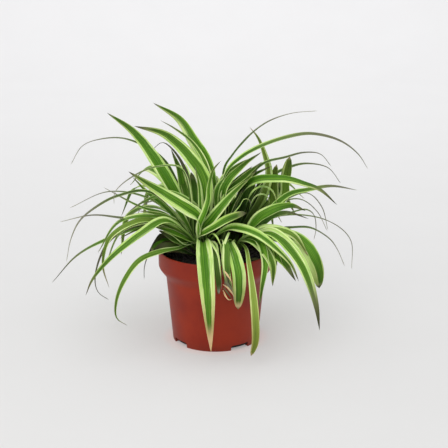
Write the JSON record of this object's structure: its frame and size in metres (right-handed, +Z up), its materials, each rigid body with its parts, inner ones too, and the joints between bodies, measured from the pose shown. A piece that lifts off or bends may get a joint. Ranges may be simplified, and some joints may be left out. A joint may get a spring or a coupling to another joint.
{
  "type": "potted spider plant",
  "caption": "Variegated spider plant with arching, cream-edged leaves growing from soil in a round terracotta-coloured plastic nursery pot",
  "frame": {"origin": "middle of the pot's flat base, on the surface it stands on", "axes": "+Z up; the front, which the picture shows, faces -Y; +X to the right"},
  "size_m": [0.337, 0.2375, 0.245],
  "materials": {
    "pot": "terracotta red-brown moulded plastic with a soft sheen",
    "soil": "dark moist peat, loose and crumbly",
    "leaf": "waxy green blade with cream margins"
  },
  "bodies": {
    "root": {"pot": "pot", "soil": "soil", "shoot_front_left": "leaf", "shoot_front_right": "leaf", "shoot_middle": "leaf", "shoot_rear_left": "leaf", "shoot_rear_right": "leaf"}
  },
  "joints": []
}
